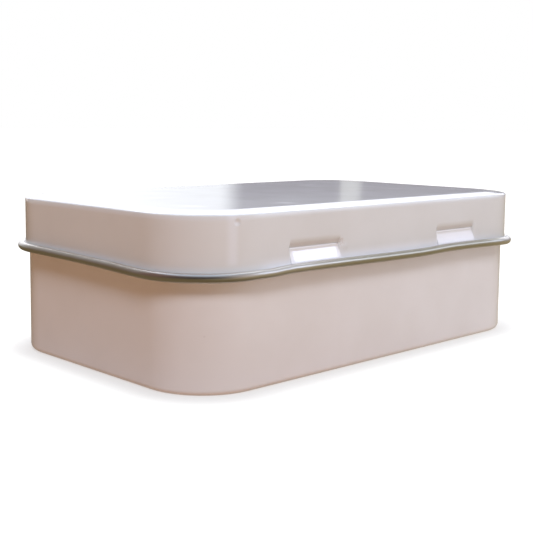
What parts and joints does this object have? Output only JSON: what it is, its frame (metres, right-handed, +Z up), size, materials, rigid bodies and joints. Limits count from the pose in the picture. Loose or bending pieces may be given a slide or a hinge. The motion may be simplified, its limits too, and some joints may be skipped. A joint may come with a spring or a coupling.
{
  "type": "soap tin",
  "caption": "Shallow rectangular tin with large rounded corners and a lid with a rolled hem, hinged along one long side on two ears.",
  "frame": {"origin": "middle of the underside, on the plane that the tin stands on", "axes": "+Z up, X along the tin's long sides, +Y towards the hinge, so the tin opens at -Y"},
  "size_m": [0.1006, 0.064, 0.0307],
  "materials": {
    "body_enamel": "warm white satin-gloss enamel outside, bare tinplate inside",
    "lid_enamel": "warm white satin-gloss enamel outside, bare tinplate inside and on the rolled hem"
  },
  "bodies": {
    "body": {"tin_body": "body_enamel"},
    "lid": {"hinged_lid": "lid_enamel"}
  },
  "joints": [
    {"name": "lid_hinge", "type": "hinge", "parent": "body", "child": "lid", "pos_m": [0, 0.03115, 0.0202], "axis": [-1, 0, 0], "range_deg": [0, 105]}
  ]
}
